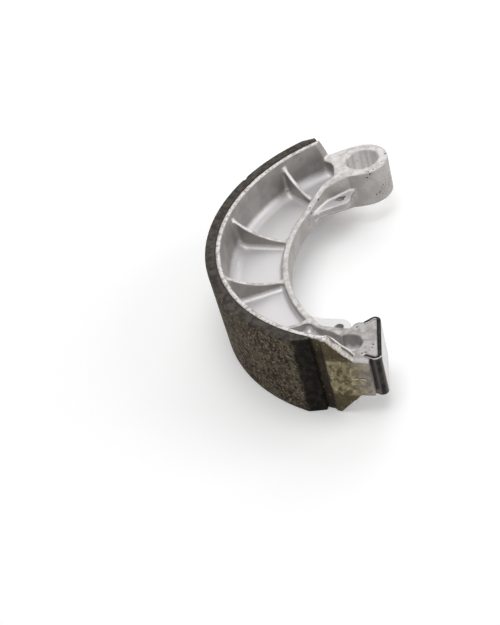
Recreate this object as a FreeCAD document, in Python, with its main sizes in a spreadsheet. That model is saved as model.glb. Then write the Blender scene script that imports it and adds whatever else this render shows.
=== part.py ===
import FreeCAD, Part
import math
import os
import Sketcher

# Brake shoe for a 160 mm drum: one aluminium casting, a bonded friction lining and
# a folded steel cap cast into the cam end. Every body is drawn about the drum's axis,
# with the brake's centre plane as X = 0 and the lining on the -X side. Each body's
# Placement then moves it so that the pivot bore's axis becomes the part's origin.

doc = FreeCAD.newDocument("brake_shoe")

# Driving dimensions, in millimetres and degrees. Angles of the shoe are counted to
# both sides of its middle, which is the -X direction.
SIZES = [
    ("drum_radius", 80.0, "outer face of the lining"),
    ("lining_width", 40.0, "across the drum"),
    ("lining_thickness", 4.3, "friction material alone"),
    ("lining_angle", 64.8, "end of the lining"),
    ("bond_thickness", 0.2, "adhesive film"),
    ("pivot_lead_angle", 4.2, "arc of the small lead chamfer"),
    ("pivot_lead_left", 2.2, "lining left at the pivot end"),
    ("cam_lead_angle", 4.9, "arc of the large lead chamfer"),
    ("cam_lead_left", 1.0, "lining left at the cam end"),
    ("pin_setoff", 12.55, "pivot axis to the brake's centre plane"),
    ("arm_proud", 0.9, "boss and arm outside the rim's seat"),
    ("bore_diameter", 15.0, "pivot bore"),
    ("bore_chamfer", 0.6, "both mouths of the bore"),
    ("boss_radius", 12.4, "round the pivot bore"),
    ("boss_width", 18.5, "boss, neck and cam arm, along the axis"),
    ("rim_inset", 0.25, "lining beyond the rim, each side"),
    ("rim_thickness", 2.2, "at the rim's edges"),
    ("rim_draft", 1.5, "slope of the rim's inner face"),
    ("rim_angle", 68.6, "end of the rim before its pivot end is trimmed"),
    ("rim_trim_depth", 3.9, "cut from the rim's corner there, across the cut"),
    ("rim_trim_turn", -30.0, "direction of that cut"),
    ("rim_trim_slope", 10.5, "lean of that cut"),
    ("root_radius", 5.0, "rim to web"),
    ("web_thickness", 3.0, "plate at mid width"),
    ("rail_setoff", 25.0, "centre of the rail's arc beyond the drum's axis"),
    ("rail_drop", 1.1, "the same towards the cam"),
    ("rail_thickness", 2.7, "bead along the inner edge"),
    ("rail_width", 10.0, "its middle stretch, along the axis"),
    ("rail_root", 1.6, "fillet between rail and web"),
    ("rail_angle", 51.0, "end of the rail, about its own centre"),
    ("pivot_ramp_drop", 15.75, "where the rail leaves the neck's width, inwards from the pin's level"),
    ("pivot_ramp", 13.0, "from there to where it has its own"),
    ("back_ramp_drop", 12.45, "the first of these on the back"),
    ("back_ramp", 11.3, "the second on the back"),
    ("cam_ramp_drop", 7.25, "the first at the cam end"),
    ("cam_ramp", 10.0, "the second at the cam end"),
    ("rib_thickness", 1.8, "cast ribs"),
    ("rib_near_angle", 16.0, "inner pair of ribs"),
    ("rib_far_angle", 48.75, "outer pair of ribs"),
    ("rib_setback", 1.4, "top of a rib below the rim's edge"),
    ("rib_low", 4.8, "half height of a rib at the rail"),
    ("rib_curve", 32.0, "radius of a rib's hollow top edge"),
    ("rib_root", 1.6, "fillet between rib and web"),
    ("hole_setoff", 24.1, "spring holes from the brake's centre plane"),
    ("hole_drop", 18.35, "spring holes inwards from the pin's level"),
    ("spring_hole", 3.8, "diameter of a spring hole"),
    ("ear_radius", 5.0, "round a spring hole"),
    ("ear_root", 2.7, "side of the pivot ear at the boss, from the pivot's axis"),
    ("ear_side", 9.0, "radius of that side"),
    ("ear_edge_angle", 15.5, "slope of the ear's lower edge"),
    ("ear_reach", 6.0, "straight stretch of that edge"),
    ("ear_foot_drop", 15.4, "where the ear runs into the rail, inwards from the hole"),
    ("ear_blend", 21.0, "radius between ear and rail"),
    ("shoulder_angle", 68.1, "where boss and arm stand proud of the rim"),
    ("neck_wall", 26.0, "pocket wall beside the boss from the centre plane"),
    ("neck_corner", 8.0, "radius of that wall's corner at the rim"),
    ("neck_drop", 10.75, "end of that wall at the rail, inwards from the pin's level"),
    ("neck_bend", 19.3, "bend of the neck's inner edge from the centre plane"),
    ("neck_foot", 30.0, "end of that edge at the rail, from the centre plane"),
    ("foot_drop", 18.5, "the same inwards from the pin's level"),
    ("taper_start", 69.9, "where the arm starts to narrow"),
    ("taper_end", 77.1, "where it has the boss's width"),
    ("arm_wall", 4.4, "outer wall of the arm"),
    ("arm_wall_start", 71.4, "where that wall has its thickness"),
    ("arm_bend", 19.8, "bend of the arm's inner edge from the centre plane"),
    ("arm_bend_drop", 9.35, "the same inwards from the pin's level"),
    ("arm_foot", 29.5, "end of that edge at the rail, from the centre plane"),
    ("arm_end", 81.7, "end of the arm's outer face"),
    ("pocket_setoff", 18.2, "round end of the arm's pocket from the centre plane"),
    ("pocket_rise", 0.25, "the same outwards from the pin's level"),
    ("pocket_radius", 4.7, "radius of that end"),
    ("pad_drop", 11.35, "inner side of the cam arm, inwards from the pin's level"),
    ("pad_top", 14.5, "corner of that side from the centre plane"),
    ("pad_corner", 3.0, "radius of that corner"),
    ("cap_setoff", 5.8, "working face of the cap from the centre plane"),
    ("cap_drop", 15.35, "sharp corner of the cap next to the middle, inwards from the pin's level"),
    ("cap_length", 28.5, "between the cap's sharp corners"),
    ("cap_width", 20.0, "steel strip, along the axis"),
    ("cap_thickness", 1.5, "steel strip"),
    ("cap_bend", 2.5, "outer radius of its two folds"),
    ("lip_length", 8.2, "from the sharp corner to the lip's end"),
    ("lip_slope", 32.0, "how far a lip leans inwards"),
    ("lip_cover", 2.4, "end of the outer lip that the casting covers"),
    ("post_radius", 2.5, "ejector posts on the back"),
    ("post_setback", 1.5, "centre of a post inside the rim's inner face"),
]

# Sizes that follow from them
DERIVED = [
    ("rim_radius", "=drum_radius - lining_thickness - bond_thickness"),
    ("bond_radius", "=rim_radius + bond_thickness"),
    ("rim_width", "=lining_width - 2 * rim_inset"),
    ("arm_radius", "=rim_radius + arm_proud"),
    ("pin_distance", "=sqrt((arm_radius - boss_radius) ^ 2 - pin_setoff ^ 2)"),
    ("hole_height", "=pin_distance - hole_drop"),
    ("ear_foot", "=hole_height - ear_foot_drop"),
    ("neck_level", "=pin_distance - neck_drop"),
    ("foot_level", "=pin_distance - foot_drop"),
    ("rail_radius", "=sqrt((rail_setoff + neck_foot) ^ 2 + (foot_level + rail_drop) ^ 2)"),
    ("ramp_pivot_high", "=pin_distance - pivot_ramp_drop"),
    ("ramp_pivot_low", "=ramp_pivot_high - pivot_ramp"),
    ("ramp_back_high", "=pin_distance - back_ramp_drop"),
    ("ramp_back_low", "=ramp_back_high - back_ramp"),
    ("ramp_cam_high", "=pin_distance - cam_ramp_drop"),
    ("ramp_cam_low", "=ramp_cam_high - cam_ramp"),
    ("arm_bend_height", "=pin_distance - arm_bend_drop"),
    ("pocket_height", "=pin_distance + pocket_rise"),
    ("pad_edge", "=pin_distance - pad_drop"),
    ("cap_near", "=pin_distance - cap_drop"),
    ("pin_angle", "=atan(pin_distance / pin_setoff) / 1 deg"),
    ("boss_half", "=boss_width / 2"),
    ("web_half", "=web_thickness / 2"),
    ("rim_half", "=rim_width / 2"),
    ("rim_inside", "=rim_radius - rim_thickness"),
    ("rim_trim", "=rim_inside * cos(rim_angle + rim_trim_turn) + rim_trim_depth"),
    ("rim_core", "=rim_radius - rim_thickness / 2"),
    ("rim_foot", "=rim_inside - (rim_half - web_half - root_radius) * tan(rim_draft)"),
    ("rail_core", "=rail_radius + rail_thickness / 2"),
    ("rib_top", "=rim_half - rib_setback"),
    ("near_start", "=sqrt(rail_core ^ 2 - (rail_setoff * sin(rib_near_angle)) ^ 2) - rail_setoff * cos(rib_near_angle)"),
    ("far_start", "=sqrt(rail_core ^ 2 - (rail_setoff * sin(rib_far_angle)) ^ 2) - rail_setoff * cos(rib_far_angle)"),
    ("ear_tangent_x", "=-hole_setoff + ear_radius * sin(ear_edge_angle)"),
    ("ear_tangent_y", "=hole_height - ear_radius * cos(ear_edge_angle)"),
    ("ear_end_x", "=ear_tangent_x - ear_reach * cos(ear_edge_angle)"),
    ("ear_end_y", "=ear_tangent_y - ear_reach * sin(ear_edge_angle)"),
    ("cap_fold", "=cap_bend / tan((90 - lip_slope) / 2)"),
    ("arm_foot_level", "=sqrt(rail_radius ^ 2 - (rail_setoff + arm_foot) ^ 2) + rail_drop"),
    ("cap_shift", "=(cap_width - boss_width) / 2"),
    ("strip_edge", "=neck_bend + rail_thickness"),
    ("strip_level", "=sqrt(rail_core ^ 2 - (rail_setoff + strip_edge) ^ 2) - rail_drop"),
]


def make_sheet():
    """Spreadsheet with the driving sizes as plain numbers and the ones worked out from them."""
    page = doc.addObject("Spreadsheet::Sheet", "sizes")
    row = 1
    for name, number, note in SIZES:
        page.set("A%d" % row, name)
        page.set("B%d" % row, str(number))
        page.set("C%d" % row, note)
        page.setAlias("B%d" % row, name)
        row += 1
    for name, formula in DERIVED:
        page.set("A%d" % row, name)
        page.set("B%d" % row, formula)
        page.setAlias("B%d" % row, name)
        row += 1
    doc.recompute()
    return page


sheet = make_sheet()
ALIASES = {entry[0] for entry in SIZES + DERIVED}


def worked_out(formula):
    """Value of a formula written in the sheet's names."""
    result = sheet.evalExpression(formula)
    return float(getattr(result, "Value", result))


def in_document(formula):
    """The same formula as objects outside the sheet write it."""
    text = ""
    word = ""
    for letter in formula + " ":
        if letter.isalnum() or letter == "_":
            word += letter
            continue
        text += ("sizes." + word) if word in ALIASES else word
        text += letter
        word = ""
    return text.strip()


def make_body(name):
    """A body drawn about the drum's axis and placed with the pivot bore at the origin."""
    body = doc.addObject("PartDesign::Body", name)
    body.Label = name
    body.setExpression(".Placement.Base.x", in_document("pin_setoff"))
    body.setExpression(".Placement.Base.y", in_document("-pin_distance"))
    return body


def origin_plane(body, role):
    """One of the body's own planes."""
    return [item for item in body.Origin.OriginFeatures if item.Role == role][0]


def make_sketch(body, name, role, turn=None, across=None, along=None):
    """A sketch on one of the body's planes, turned about the drum's axis or moved if wanted."""
    sketch = body.newObject("Sketcher::SketchObject", name)
    sketch.AttachmentSupport = (origin_plane(body, role), [""])
    sketch.MapMode = "FlatFace"
    if turn is not None:
        rotation = FreeCAD.Rotation(FreeCAD.Vector(0, 1, 0), worked_out(turn))
        base = FreeCAD.Vector(0, 0, 0)
        if across is not None:
            base = FreeCAD.Vector(worked_out(across), 0, worked_out(along))
        sketch.AttachmentOffset = FreeCAD.Placement(base, rotation)
        sketch.setExpression(".AttachmentOffset.Rotation.Angle", in_document(turn))
        if across is not None:
            sketch.setExpression(".AttachmentOffset.Base.x", in_document(across))
            sketch.setExpression(".AttachmentOffset.Base.z", in_document(along))
    return sketch


def bind(sketch, constraint, formula):
    """Adds a constraint and ties it to a formula."""
    index = sketch.addConstraint(constraint)
    sketch.setExpression("Constraints[%d]" % index, in_document(formula))


def arc_between(start, end, radius, side):
    """The shorter arc from start to end, with its centre to the left or right of the way."""
    chord = end - start
    half = chord.Length / 2
    rise = math.sqrt(max(radius * radius - half * half, 0.0))
    if side == "right":
        rise = -rise
    centre = start + chord * 0.5 + FreeCAD.Vector(-chord.y, chord.x, 0).normalize() * rise
    first = math.atan2(start.y - centre.y, start.x - centre.x)
    last = math.atan2(end.y - centre.y, end.x - centre.x)
    circle = Part.Circle(centre, FreeCAD.Vector(0, 0, 1), radius)
    if side == "left":
        return Part.ArcOfCircle(circle, first, last), 1, 2
    return Part.ArcOfCircle(circle, last, first), 2, 1


def draw_outline(sketch, corners):
    """Closed outline. A corner is (x, y) before a line, or (x, y, radius, side) before an arc."""
    points = [FreeCAD.Vector(worked_out(corner[0]), worked_out(corner[1]), 0) for corner in corners]
    ends = []
    for index, corner in enumerate(corners):
        start = points[index]
        end = points[(index + 1) % len(corners)]
        if len(corner) == 2:
            edge = sketch.addGeometry(Part.LineSegment(start, end), False)
            ends.append((edge, 1, 2))
        else:
            arc, first, last = arc_between(start, end, worked_out(corner[2]), corner[3])
            edge = sketch.addGeometry(arc, False)
            ends.append((edge, first, last))
    for index, corner in enumerate(corners):
        edge, first, last = ends[index]
        following = ends[(index + 1) % len(corners)]
        sketch.addConstraint(Sketcher.Constraint("Coincident", edge, last, following[0], following[1]))
        point = points[index]
        bind(sketch, Sketcher.Constraint("DistanceX", -1, 1, edge, first, point.x), corner[0])
        bind(sketch, Sketcher.Constraint("DistanceY", -1, 1, edge, first, point.y), corner[1])
        if len(corner) > 2:
            bind(sketch, Sketcher.Constraint("Radius", edge, worked_out(corner[2])), corner[2])


def draw_both_sides(sketch, corners):
    """An outline above mid width and its mirror image below it."""
    flipped = []
    for index in range(len(corners)):
        corner = corners[-index]
        shape = corners[-index - 1][2:]
        flipped.append((corner[0], "-(%s)" % corner[1]) + tuple(shape))
    draw_outline(sketch, corners)
    draw_outline(sketch, flipped)


def draw_circle(sketch, x, y, radius):
    """A circle tied to the sheet."""
    centre = FreeCAD.Vector(worked_out(x), worked_out(y), 0)
    reach = worked_out(radius)
    edge = sketch.addGeometry(Part.Circle(centre, FreeCAD.Vector(0, 0, 1), reach), False)
    bind(sketch, Sketcher.Constraint("DistanceX", -1, 1, edge, 3, centre.x), x)
    bind(sketch, Sketcher.Constraint("DistanceY", -1, 1, edge, 3, centre.y), y)
    bind(sketch, Sketcher.Constraint("Radius", edge, reach), radius)


def polar(radius, angle):
    """Formulas of a point at that radius, with its angle counted from the shoe's middle:
    positive towards the pivot, negative towards the cam."""
    return "-(%s) * cos(%s)" % (radius, angle), "(%s) * sin(%s)" % (radius, angle)


def pad(body, sketch, name, length, symmetric=True):
    """A pad, the same to both sides of its sketch unless it is one-sided."""
    feature = body.newObject("PartDesign::Pad", name)
    feature.Profile = sketch
    if symmetric:
        feature.SideType = "Symmetric"
    feature.Length = worked_out(length)
    feature.setExpression("Length", in_document(length))
    return feature


def revolve(body, sketch, name, half_angle, axis):
    """A revolution, the same to both sides of its sketch."""
    feature = body.newObject("PartDesign::Revolution", name)
    feature.Profile = sketch
    feature.ReferenceAxis = (sketch, [axis])
    feature.Midplane = True
    feature.Angle = worked_out("2 * %s" % half_angle)
    feature.setExpression("Angle", in_document("2 * %s" % half_angle))
    return feature


def mirror(body, features, name):
    """The same features on the other side of the shoe's middle."""
    feature = body.newObject("PartDesign::Mirrored", name)
    feature.Originals = features
    feature.MirrorPlane = (origin_plane(body, "XZ_Plane"), [""])
    body.Tip = feature
    return feature


def pocket(body, sketch, name, one_way=False, reverse=False):
    """A pocket through everything, to both sides of its sketch or to one of them."""
    before = body.Shape.Volume
    feature = body.newObject("PartDesign::Pocket", name)
    feature.Profile = sketch
    feature.Type = "ThroughAll"
    if not one_way:
        feature.SideType = "Symmetric"
    feature.Reversed = reverse
    doc.recompute()
    if body.Shape.Volume >= before:
        raise RuntimeError("%s cuts nothing" % name)
    return feature


def fold_point(reach, depth, end):
    """Formulas of a point on a lip of the cap: reach along its outer side from the sharp
    corner, then depth into the strip. The near end is the one next to the shoe's middle."""
    x = "-cap_setoff - (%s) * cos(lip_slope) + (%s) * sin(lip_slope)" % (reach, depth)
    drop = "((%s) * sin(lip_slope) + (%s) * cos(lip_slope))" % (reach, depth)
    if end == "near":
        return x, "-cap_near - %s" % drop
    return x, "-cap_near - cap_length + %s" % drop


def face_point(depth, end):
    """Formulas of the point where the cap's face turns into a fold."""
    x = "-cap_setoff - (%s)" % depth
    if end == "near":
        return x, "-cap_near - cap_fold"
    return x, "-cap_near - cap_length + cap_fold"


def add_rail(body):
    """Bead along the inner edge, about its own centre. It has the neck's height at both
    ends and ramps down to a low middle stretch."""
    sketch = make_sketch(body, "rail_profile", "XZ_Plane")
    inner = "rail_setoff - rail_radius"
    outer = "rail_setoff - rail_radius - rail_thickness"
    foot = "rail_setoff - rail_radius - rail_thickness - rail_root"
    draw_outline(sketch, [
        (inner, "boss_half"),
        (outer, "boss_half"),
        (outer, "web_half + rail_root", "rail_root", "right"),
        (foot, "web_half"),
        (foot, "-web_half", "rail_root", "right"),
        (outer, "-web_half - rail_root"),
        (outer, "-boss_half"),
        (inner, "-boss_half"),
    ])
    centre = worked_out("rail_setoff")
    line = Part.LineSegment(FreeCAD.Vector(centre, 0, 0), FreeCAD.Vector(centre, 10, 0))
    axis = sketch.addGeometry(line, True)
    sketch.addConstraint(Sketcher.Constraint("Vertical", axis))
    sketch.addConstraint(Sketcher.Constraint("PointOnObject", axis, 1, -1))
    bind(sketch, Sketcher.Constraint("DistanceX", -1, 1, axis, 1, centre), "rail_setoff")
    bind(sketch, Sketcher.Constraint("DistanceY", axis, 1, axis, 2, worked_out("web_thickness")), "web_thickness")
    drop = FreeCAD.Vector(0, 0, worked_out("rail_drop"))
    sketch.AttachmentOffset = FreeCAD.Placement(drop, FreeCAD.Rotation())
    sketch.setExpression(".AttachmentOffset.Base.z", in_document("rail_drop"))
    revolve(body, sketch, "rail", "rail_angle", "Axis0")
    doc.recompute()
    strip = make_sketch(body, "neck_strip_outline", "XY_Plane")
    draw_outline(strip, [
        ("-neck_bend", "pin_distance - boss_radius"),
        ("-neck_foot", "foot_level"),
        ("-neck_foot", "foot_level + rail_thickness / 2"),
        ("-strip_edge", "strip_level"),
        ("-neck_bend", "strip_level"),
    ])
    pad(body, strip, "neck_strip", "boss_width")
    strip = make_sketch(body, "arm_strip_outline", "XY_Plane")
    draw_outline(strip, [
        ("-arm_foot", "-arm_foot_level"),
        ("-arm_bend", "-arm_bend_height"),
        ("-pad_top - pad_corner", "-pad_edge - pad_corner"),
        ("-pocket_setoff", "-pocket_height + pocket_radius"),
        ("-arm_foot", "-arm_foot_level - rail_thickness"),
    ])
    pad(body, strip, "arm_strip", "boss_width")
    doc.recompute()
    side = make_sketch(body, "ramp_profile", "YZ_Plane")
    for sign, high, low in (("", "ramp_pivot_high", "ramp_pivot_low"), ("-", "ramp_back_high", "ramp_back_low")):
        draw_outline(side, [
            (high, sign + "boss_half"),
            (low, sign + "rail_width / 2"),
            ("-ramp_cam_low", sign + "rail_width / 2"),
            ("-ramp_cam_high", sign + "boss_half"),
            ("-ramp_cam_high", sign + "boss_width"),
            (high, sign + "boss_width"),
        ])
    pocket(body, side, "rail_ramps")


def add_web(body):
    """Plate at mid width with the two ears for the spring hooks."""
    sketch = make_sketch(body, "web_outline", "XY_Plane")
    rail_x = "rail_setoff - sqrt(rail_core ^ 2 - (ear_foot %s rail_drop) ^ 2)"
    draw_outline(sketch, [
        ("-pin_setoff - ear_root", "pin_distance - 0.9 * boss_radius", "ear_side", "left"),
        ("-hole_setoff + ear_radius", "hole_height", "ear_radius", "right"),
        ("ear_tangent_x", "ear_tangent_y"),
        ("ear_end_x", "ear_end_y", "ear_blend", "left"),
        (rail_x % "+", "ear_foot", "rail_core", "left"),
        (rail_x % "-", "-ear_foot", "ear_blend", "left"),
        ("ear_end_x", "-ear_end_y"),
        ("ear_tangent_x", "-ear_tangent_y", "ear_radius", "right"),
        ("-hole_setoff + ear_radius", "-hole_height"),
        ("-pad_top - pad_corner", "-pad_edge - pad_corner"),
        ("-pocket_setoff + 1.5 * pocket_radius", "-pocket_height"),
        polar("rim_core", "-taper_start") + ("rim_core", "right"),
        polar("rim_core", "shoulder_angle"),
        ("-pin_setoff", "pin_distance"),
    ])
    pad(body, sketch, "web", "web_thickness")


def add_rib_pair(body, name, start, angle):
    """Two cast ribs, mirror images, from the rail to the rim, with flared feet."""
    side = make_sketch(body, name + "_profile", "XZ_Plane", "180 - %s" % angle)
    draw_outline(side, [
        (start, "rib_low", "rib_curve", "left"),
        ("rim_core", "rib_top"),
        ("rim_core", "-rib_top", "rib_curve", "left"),
        (start, "-rib_low"),
    ])
    blade = pad(body, side, name, "rib_thickness")
    across, up = polar(start, angle)
    section = make_sketch(body, name + "_foot_section", "XZ_Plane", "270 - %s" % angle, across, "-%s" % up)
    edge = "rib_thickness / 2"
    toe = "rib_thickness / 2 + rib_root"
    draw_outline(section, [
        (edge, "web_half + rib_root", "rib_root", "left"),
        (toe, "web_half"),
        (toe, "-web_half", "rib_root", "left"),
        (edge, "-web_half - rib_root"),
        ("-(%s)" % edge, "-web_half - rib_root", "rib_root", "left"),
        ("-(%s)" % toe, "-web_half"),
        ("-(%s)" % toe, "web_half", "rib_root", "left"),
        ("-(%s)" % edge, "web_half + rib_root"),
    ])
    foot = pad(body, section, name + "_foot", "rim_core - %s" % start, symmetric=False)
    doc.recompute()
    mirror(body, [blade, foot], name + "_pair")


def add_rim(body):
    """Platform of the lining, with a root that sweeps into the web."""
    sketch = make_sketch(body, "rim_profile", "XZ_Plane")
    draw_outline(sketch, [
        ("-rim_radius", "rim_half"),
        ("-rim_radius", "-rim_half"),
        ("-rim_inside", "-rim_half"),
        ("-rim_foot", "-web_half - root_radius", "root_radius", "right"),
        ("-rim_foot + root_radius", "-web_half"),
        ("-rim_foot + root_radius", "web_half", "root_radius", "right"),
        ("-rim_foot", "web_half + root_radius"),
        ("-rim_inside", "rim_half"),
    ])
    revolve(body, sketch, "rim", "rim_angle", "V_Axis")


def add_neck(body):
    """Boss round the pivot bore and the neck that joins it to rim, web and rail."""
    sketch = make_sketch(body, "neck_outline", "XY_Plane")
    draw_outline(sketch, [
        polar("arm_radius", "pin_angle") + ("arm_radius", "left"),
        polar("arm_radius", "shoulder_angle"),
        polar("rim_core", "shoulder_angle") + ("rim_core", "left"),
        polar("rim_core", "lining_angle"),
        polar("rim_inside", "lining_angle") + ("neck_corner", "right"),
        ("-neck_wall", "pin_distance - neck_corner * 0.4"),
        ("-neck_wall", "neck_level"),
        ("-neck_bend", "pin_distance - boss_radius"),
        ("-pin_setoff", "pin_distance - boss_radius"),
    ])
    pad(body, sketch, "neck", "boss_width")
    ring = make_sketch(body, "boss_circle", "XY_Plane")
    draw_circle(ring, "-pin_setoff", "pin_distance", "boss_radius")
    pad(body, ring, "boss", "boss_width")


def add_arm(body):
    """Arm with the cam pad: solid under the steel cap, open to both sides beside it,
    and walled to the rim's full width where it leaves the rim."""
    sketch = make_sketch(body, "arm_outline", "XY_Plane")
    fold = "cap_bend - cap_thickness"
    draw_outline(sketch, [
        fold_point("lip_length", "0", "near"),
        ("-pad_top", "-pad_edge", "pad_corner", "left"),
        ("-pad_top - pad_corner", "-pad_edge - pad_corner"),
        ("-pocket_setoff - pad_corner", "-pocket_height + pocket_radius + pad_corner / 2"),
        ("-pocket_setoff", "-pocket_height + pocket_radius", "pocket_radius", "right"),
        ("-pocket_setoff + pocket_radius", "-pocket_height", "pocket_radius", "right"),
        ("-pocket_setoff", "-pocket_height - pocket_radius"),
        polar("rim_inside", "-shoulder_angle"),
        polar("arm_radius", "-shoulder_angle") + ("arm_radius", "left"),
        polar("arm_radius", "-arm_end"),
        fold_point("lip_length - lip_cover", "0", "far"),
        fold_point("lip_length", "0", "far"),
        fold_point("lip_length", "cap_thickness", "far"),
        fold_point("cap_fold", "cap_thickness", "far") + (fold, "left"),
        face_point("cap_thickness", "far"),
        face_point("cap_thickness", "near") + (fold, "left"),
        fold_point("cap_fold", "cap_thickness", "near"),
        fold_point("lip_length", "cap_thickness", "near"),
    ])
    pad(body, sketch, "arm", "boss_width")
    wall = make_sketch(body, "arm_wall_outline", "XY_Plane")
    draw_outline(wall, [
        polar("arm_radius", "-shoulder_angle") + ("arm_radius", "left"),
        polar("arm_radius", "-taper_end - 1"),
        polar("arm_radius - arm_wall", "-taper_end - 1") + ("arm_radius - arm_wall", "right"),
        polar("arm_radius - arm_wall", "-arm_wall_start"),
        polar("rim_inside", "-shoulder_angle"),
    ])
    pad(body, wall, "arm_wall", "rim_width")
    doc.recompute()
    taper = make_sketch(body, "arm_taper_profile", "XZ_Plane", "(taper_start + taper_end) / 2 - 90")
    reach = "arm_radius * sin((taper_end - taper_start) / 2)"
    draw_both_sides(taper, [
        ("-" + reach, "rim_half"),
        (reach, "boss_half"),
        (reach + " + arm_wall", "boss_half"),
        (reach + " + arm_wall", "rim_half + 1"),
        ("-" + reach, "rim_half + 1"),
    ])
    pocket(body, taper, "arm_taper", one_way=True, reverse=True)


def trim_rim(body):
    """Slanted ends of the rim above and below the neck."""
    sketch = make_sketch(body, "rim_trim_profile", "XZ_Plane", "rim_trim_turn")
    lean = "-rim_trim + (rim_half - boss_half) * tan(rim_trim_slope)"
    draw_both_sides(sketch, [
        (lean, "boss_half"),
        ("-rim_trim + (rim_half - boss_half) / 2", "boss_half"),
        ("-rim_trim + (rim_half - boss_half) / 2", "rim_half + 1"),
        ("-rim_trim - tan(rim_trim_slope)", "rim_half + 1"),
    ])
    pocket(body, sketch, "rim_trim_cut", one_way=True)


def make_casting():
    """The shoe itself: rim, web, ribs, rail, boss and cam arm in one casting."""
    body = make_body("shoe_casting")
    add_rail(body)
    add_web(body)
    add_rib_pair(body, "near_rib", "near_start", "rib_near_angle")
    add_rib_pair(body, "far_rib", "far_start", "rib_far_angle")
    add_rim(body)
    add_neck(body)
    add_arm(body)
    trim_rim(body)
    posts = make_sketch(body, "post_circles", "XY_Plane")
    for angle in ("rib_near_angle", "-rib_near_angle", "rib_far_angle", "-rib_far_angle"):
        x, y = polar("rim_inside - post_setback", angle)
        draw_circle(posts, x, y, "post_radius")
    back = pad(body, posts, "ejector_posts", "rim_half", symmetric=False)
    back.Reversed = True
    doc.recompute()
    holes = make_sketch(body, "hole_circles", "XY_Plane")
    draw_circle(holes, "-pin_setoff", "pin_distance", "bore_diameter / 2")
    draw_circle(holes, "-hole_setoff", "hole_height", "spring_hole / 2")
    draw_circle(holes, "-hole_setoff", "-hole_height", "spring_hole / 2")
    pocket(body, holes, "holes")
    mouths = []
    centre = FreeCAD.Vector(worked_out("-pin_setoff"), worked_out("pin_distance"), 0)
    for number, edge in enumerate(body.Tip.Shape.Edges):
        if not isinstance(edge.Curve, Part.Circle):
            continue
        away = edge.Curve.Center - centre
        if math.hypot(away.x, away.y) < 0.01 and abs(edge.Curve.Radius - worked_out("bore_diameter / 2")) < 0.01:
            mouths.append("Edge%d" % (number + 1))
    bevel = body.newObject("PartDesign::Chamfer", "bore_mouths")
    bevel.Base = (holes_feature(body), mouths)
    bevel.setExpression("Size", in_document("bore_chamfer"))
    return body


def holes_feature(body):
    """The pocket that the chamfer works on."""
    return [item for item in body.Group if item.Name == "holes"][0]


def make_arc_strip(name, inner, outer):
    """A strip of the lining's width and arc between two radii."""
    body = make_body(name)
    sketch = make_sketch(body, name + "_section", "XZ_Plane")
    draw_outline(sketch, [
        ("-" + inner, "lining_width / 2"),
        ("-" + outer, "lining_width / 2"),
        ("-" + outer, "-lining_width / 2"),
        ("-" + inner, "-lining_width / 2"),
    ])
    revolve(body, sketch, name + "_arc", "lining_angle", "V_Axis")
    doc.recompute()
    return body


def make_lining():
    """Friction lining with a lead chamfer at each end."""
    body = make_arc_strip("brake_lining", "bond_radius", "drum_radius")
    leads = make_sketch(body, "lead_outlines", "XY_Plane")
    for sign, arc, left in (("", "pivot_lead_angle", "pivot_lead_left"), ("-", "cam_lead_angle", "cam_lead_left")):
        start = "%s(lining_angle - %s)" % (sign, arc)
        end = "%slining_angle" % sign
        draw_outline(leads, [
            polar("drum_radius", start),
            polar("drum_radius + 1", start),
            polar("drum_radius + 1", end),
            polar("bond_radius + %s" % left, end),
        ])
    pocket(body, leads, "leads")
    return body


def make_cap():
    """Steel strip folded round the cam pad, with both lips turned back into the casting.
    It is wider than the arm and lies flush with the arm's front."""
    body = make_body("cam_end_cap")
    sketch = make_sketch(body, "cap_section", "XY_Plane")
    sketch.AttachmentOffset = FreeCAD.Placement(FreeCAD.Vector(0, 0, -worked_out("cap_shift")), FreeCAD.Rotation())
    sketch.setExpression(".AttachmentOffset.Base.z", "-" + in_document("cap_shift"))
    fold = "cap_bend - cap_thickness"
    draw_outline(sketch, [
        fold_point("lip_length", "0", "near"),
        fold_point("lip_length", "cap_thickness", "near"),
        fold_point("cap_fold", "cap_thickness", "near") + (fold, "right"),
        face_point("cap_thickness", "near"),
        face_point("cap_thickness", "far") + (fold, "right"),
        fold_point("cap_fold", "cap_thickness", "far"),
        fold_point("lip_length", "cap_thickness", "far"),
        fold_point("lip_length", "0", "far"),
        fold_point("cap_fold", "0", "far") + ("cap_bend", "left"),
        face_point("0", "far"),
        face_point("0", "near") + ("cap_bend", "left"),
        fold_point("cap_fold", "0", "near"),
    ])
    pad(body, sketch, "cap_strip", "cap_width")
    return body


bodies = [make_casting(), make_lining(), make_arc_strip("lining_bond", "rim_radius", "bond_radius"), make_cap()]
doc.recompute()

# Every feature must have computed, and every body must be one valid solid
for item in doc.Objects:
    if "Invalid" in item.State or "Error" in item.State:
        raise RuntimeError("%s did not compute" % item.Name)
for body in bodies:
    if body.Shape.isNull() or not body.Shape.isValid() or len(body.Shape.Solids) != 1:
        raise RuntimeError("%s is not one valid solid" % body.Label)

os.makedirs("parts", exist_ok=True)
for body in bodies:
    body.Shape.exportStep("parts/%s.step" % body.Label)
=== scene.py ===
# %% [markdown]
# A brake shoe, finished for a picture
#
# The shoe is one aluminium casting with a curved friction lining glued to its back and a folded
# steel cap where the brake's cam pushes it. The solids come from the CAD model and are already
# the right size. What they lack is what a foundry leaves behind: rounded edges, rough trimmed
# rims, pits, stains and the coarse grain of the lining. This script adds that, piece by piece.

import math

import bpy
import numpy as np
from mathutils import Matrix, Vector


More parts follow.
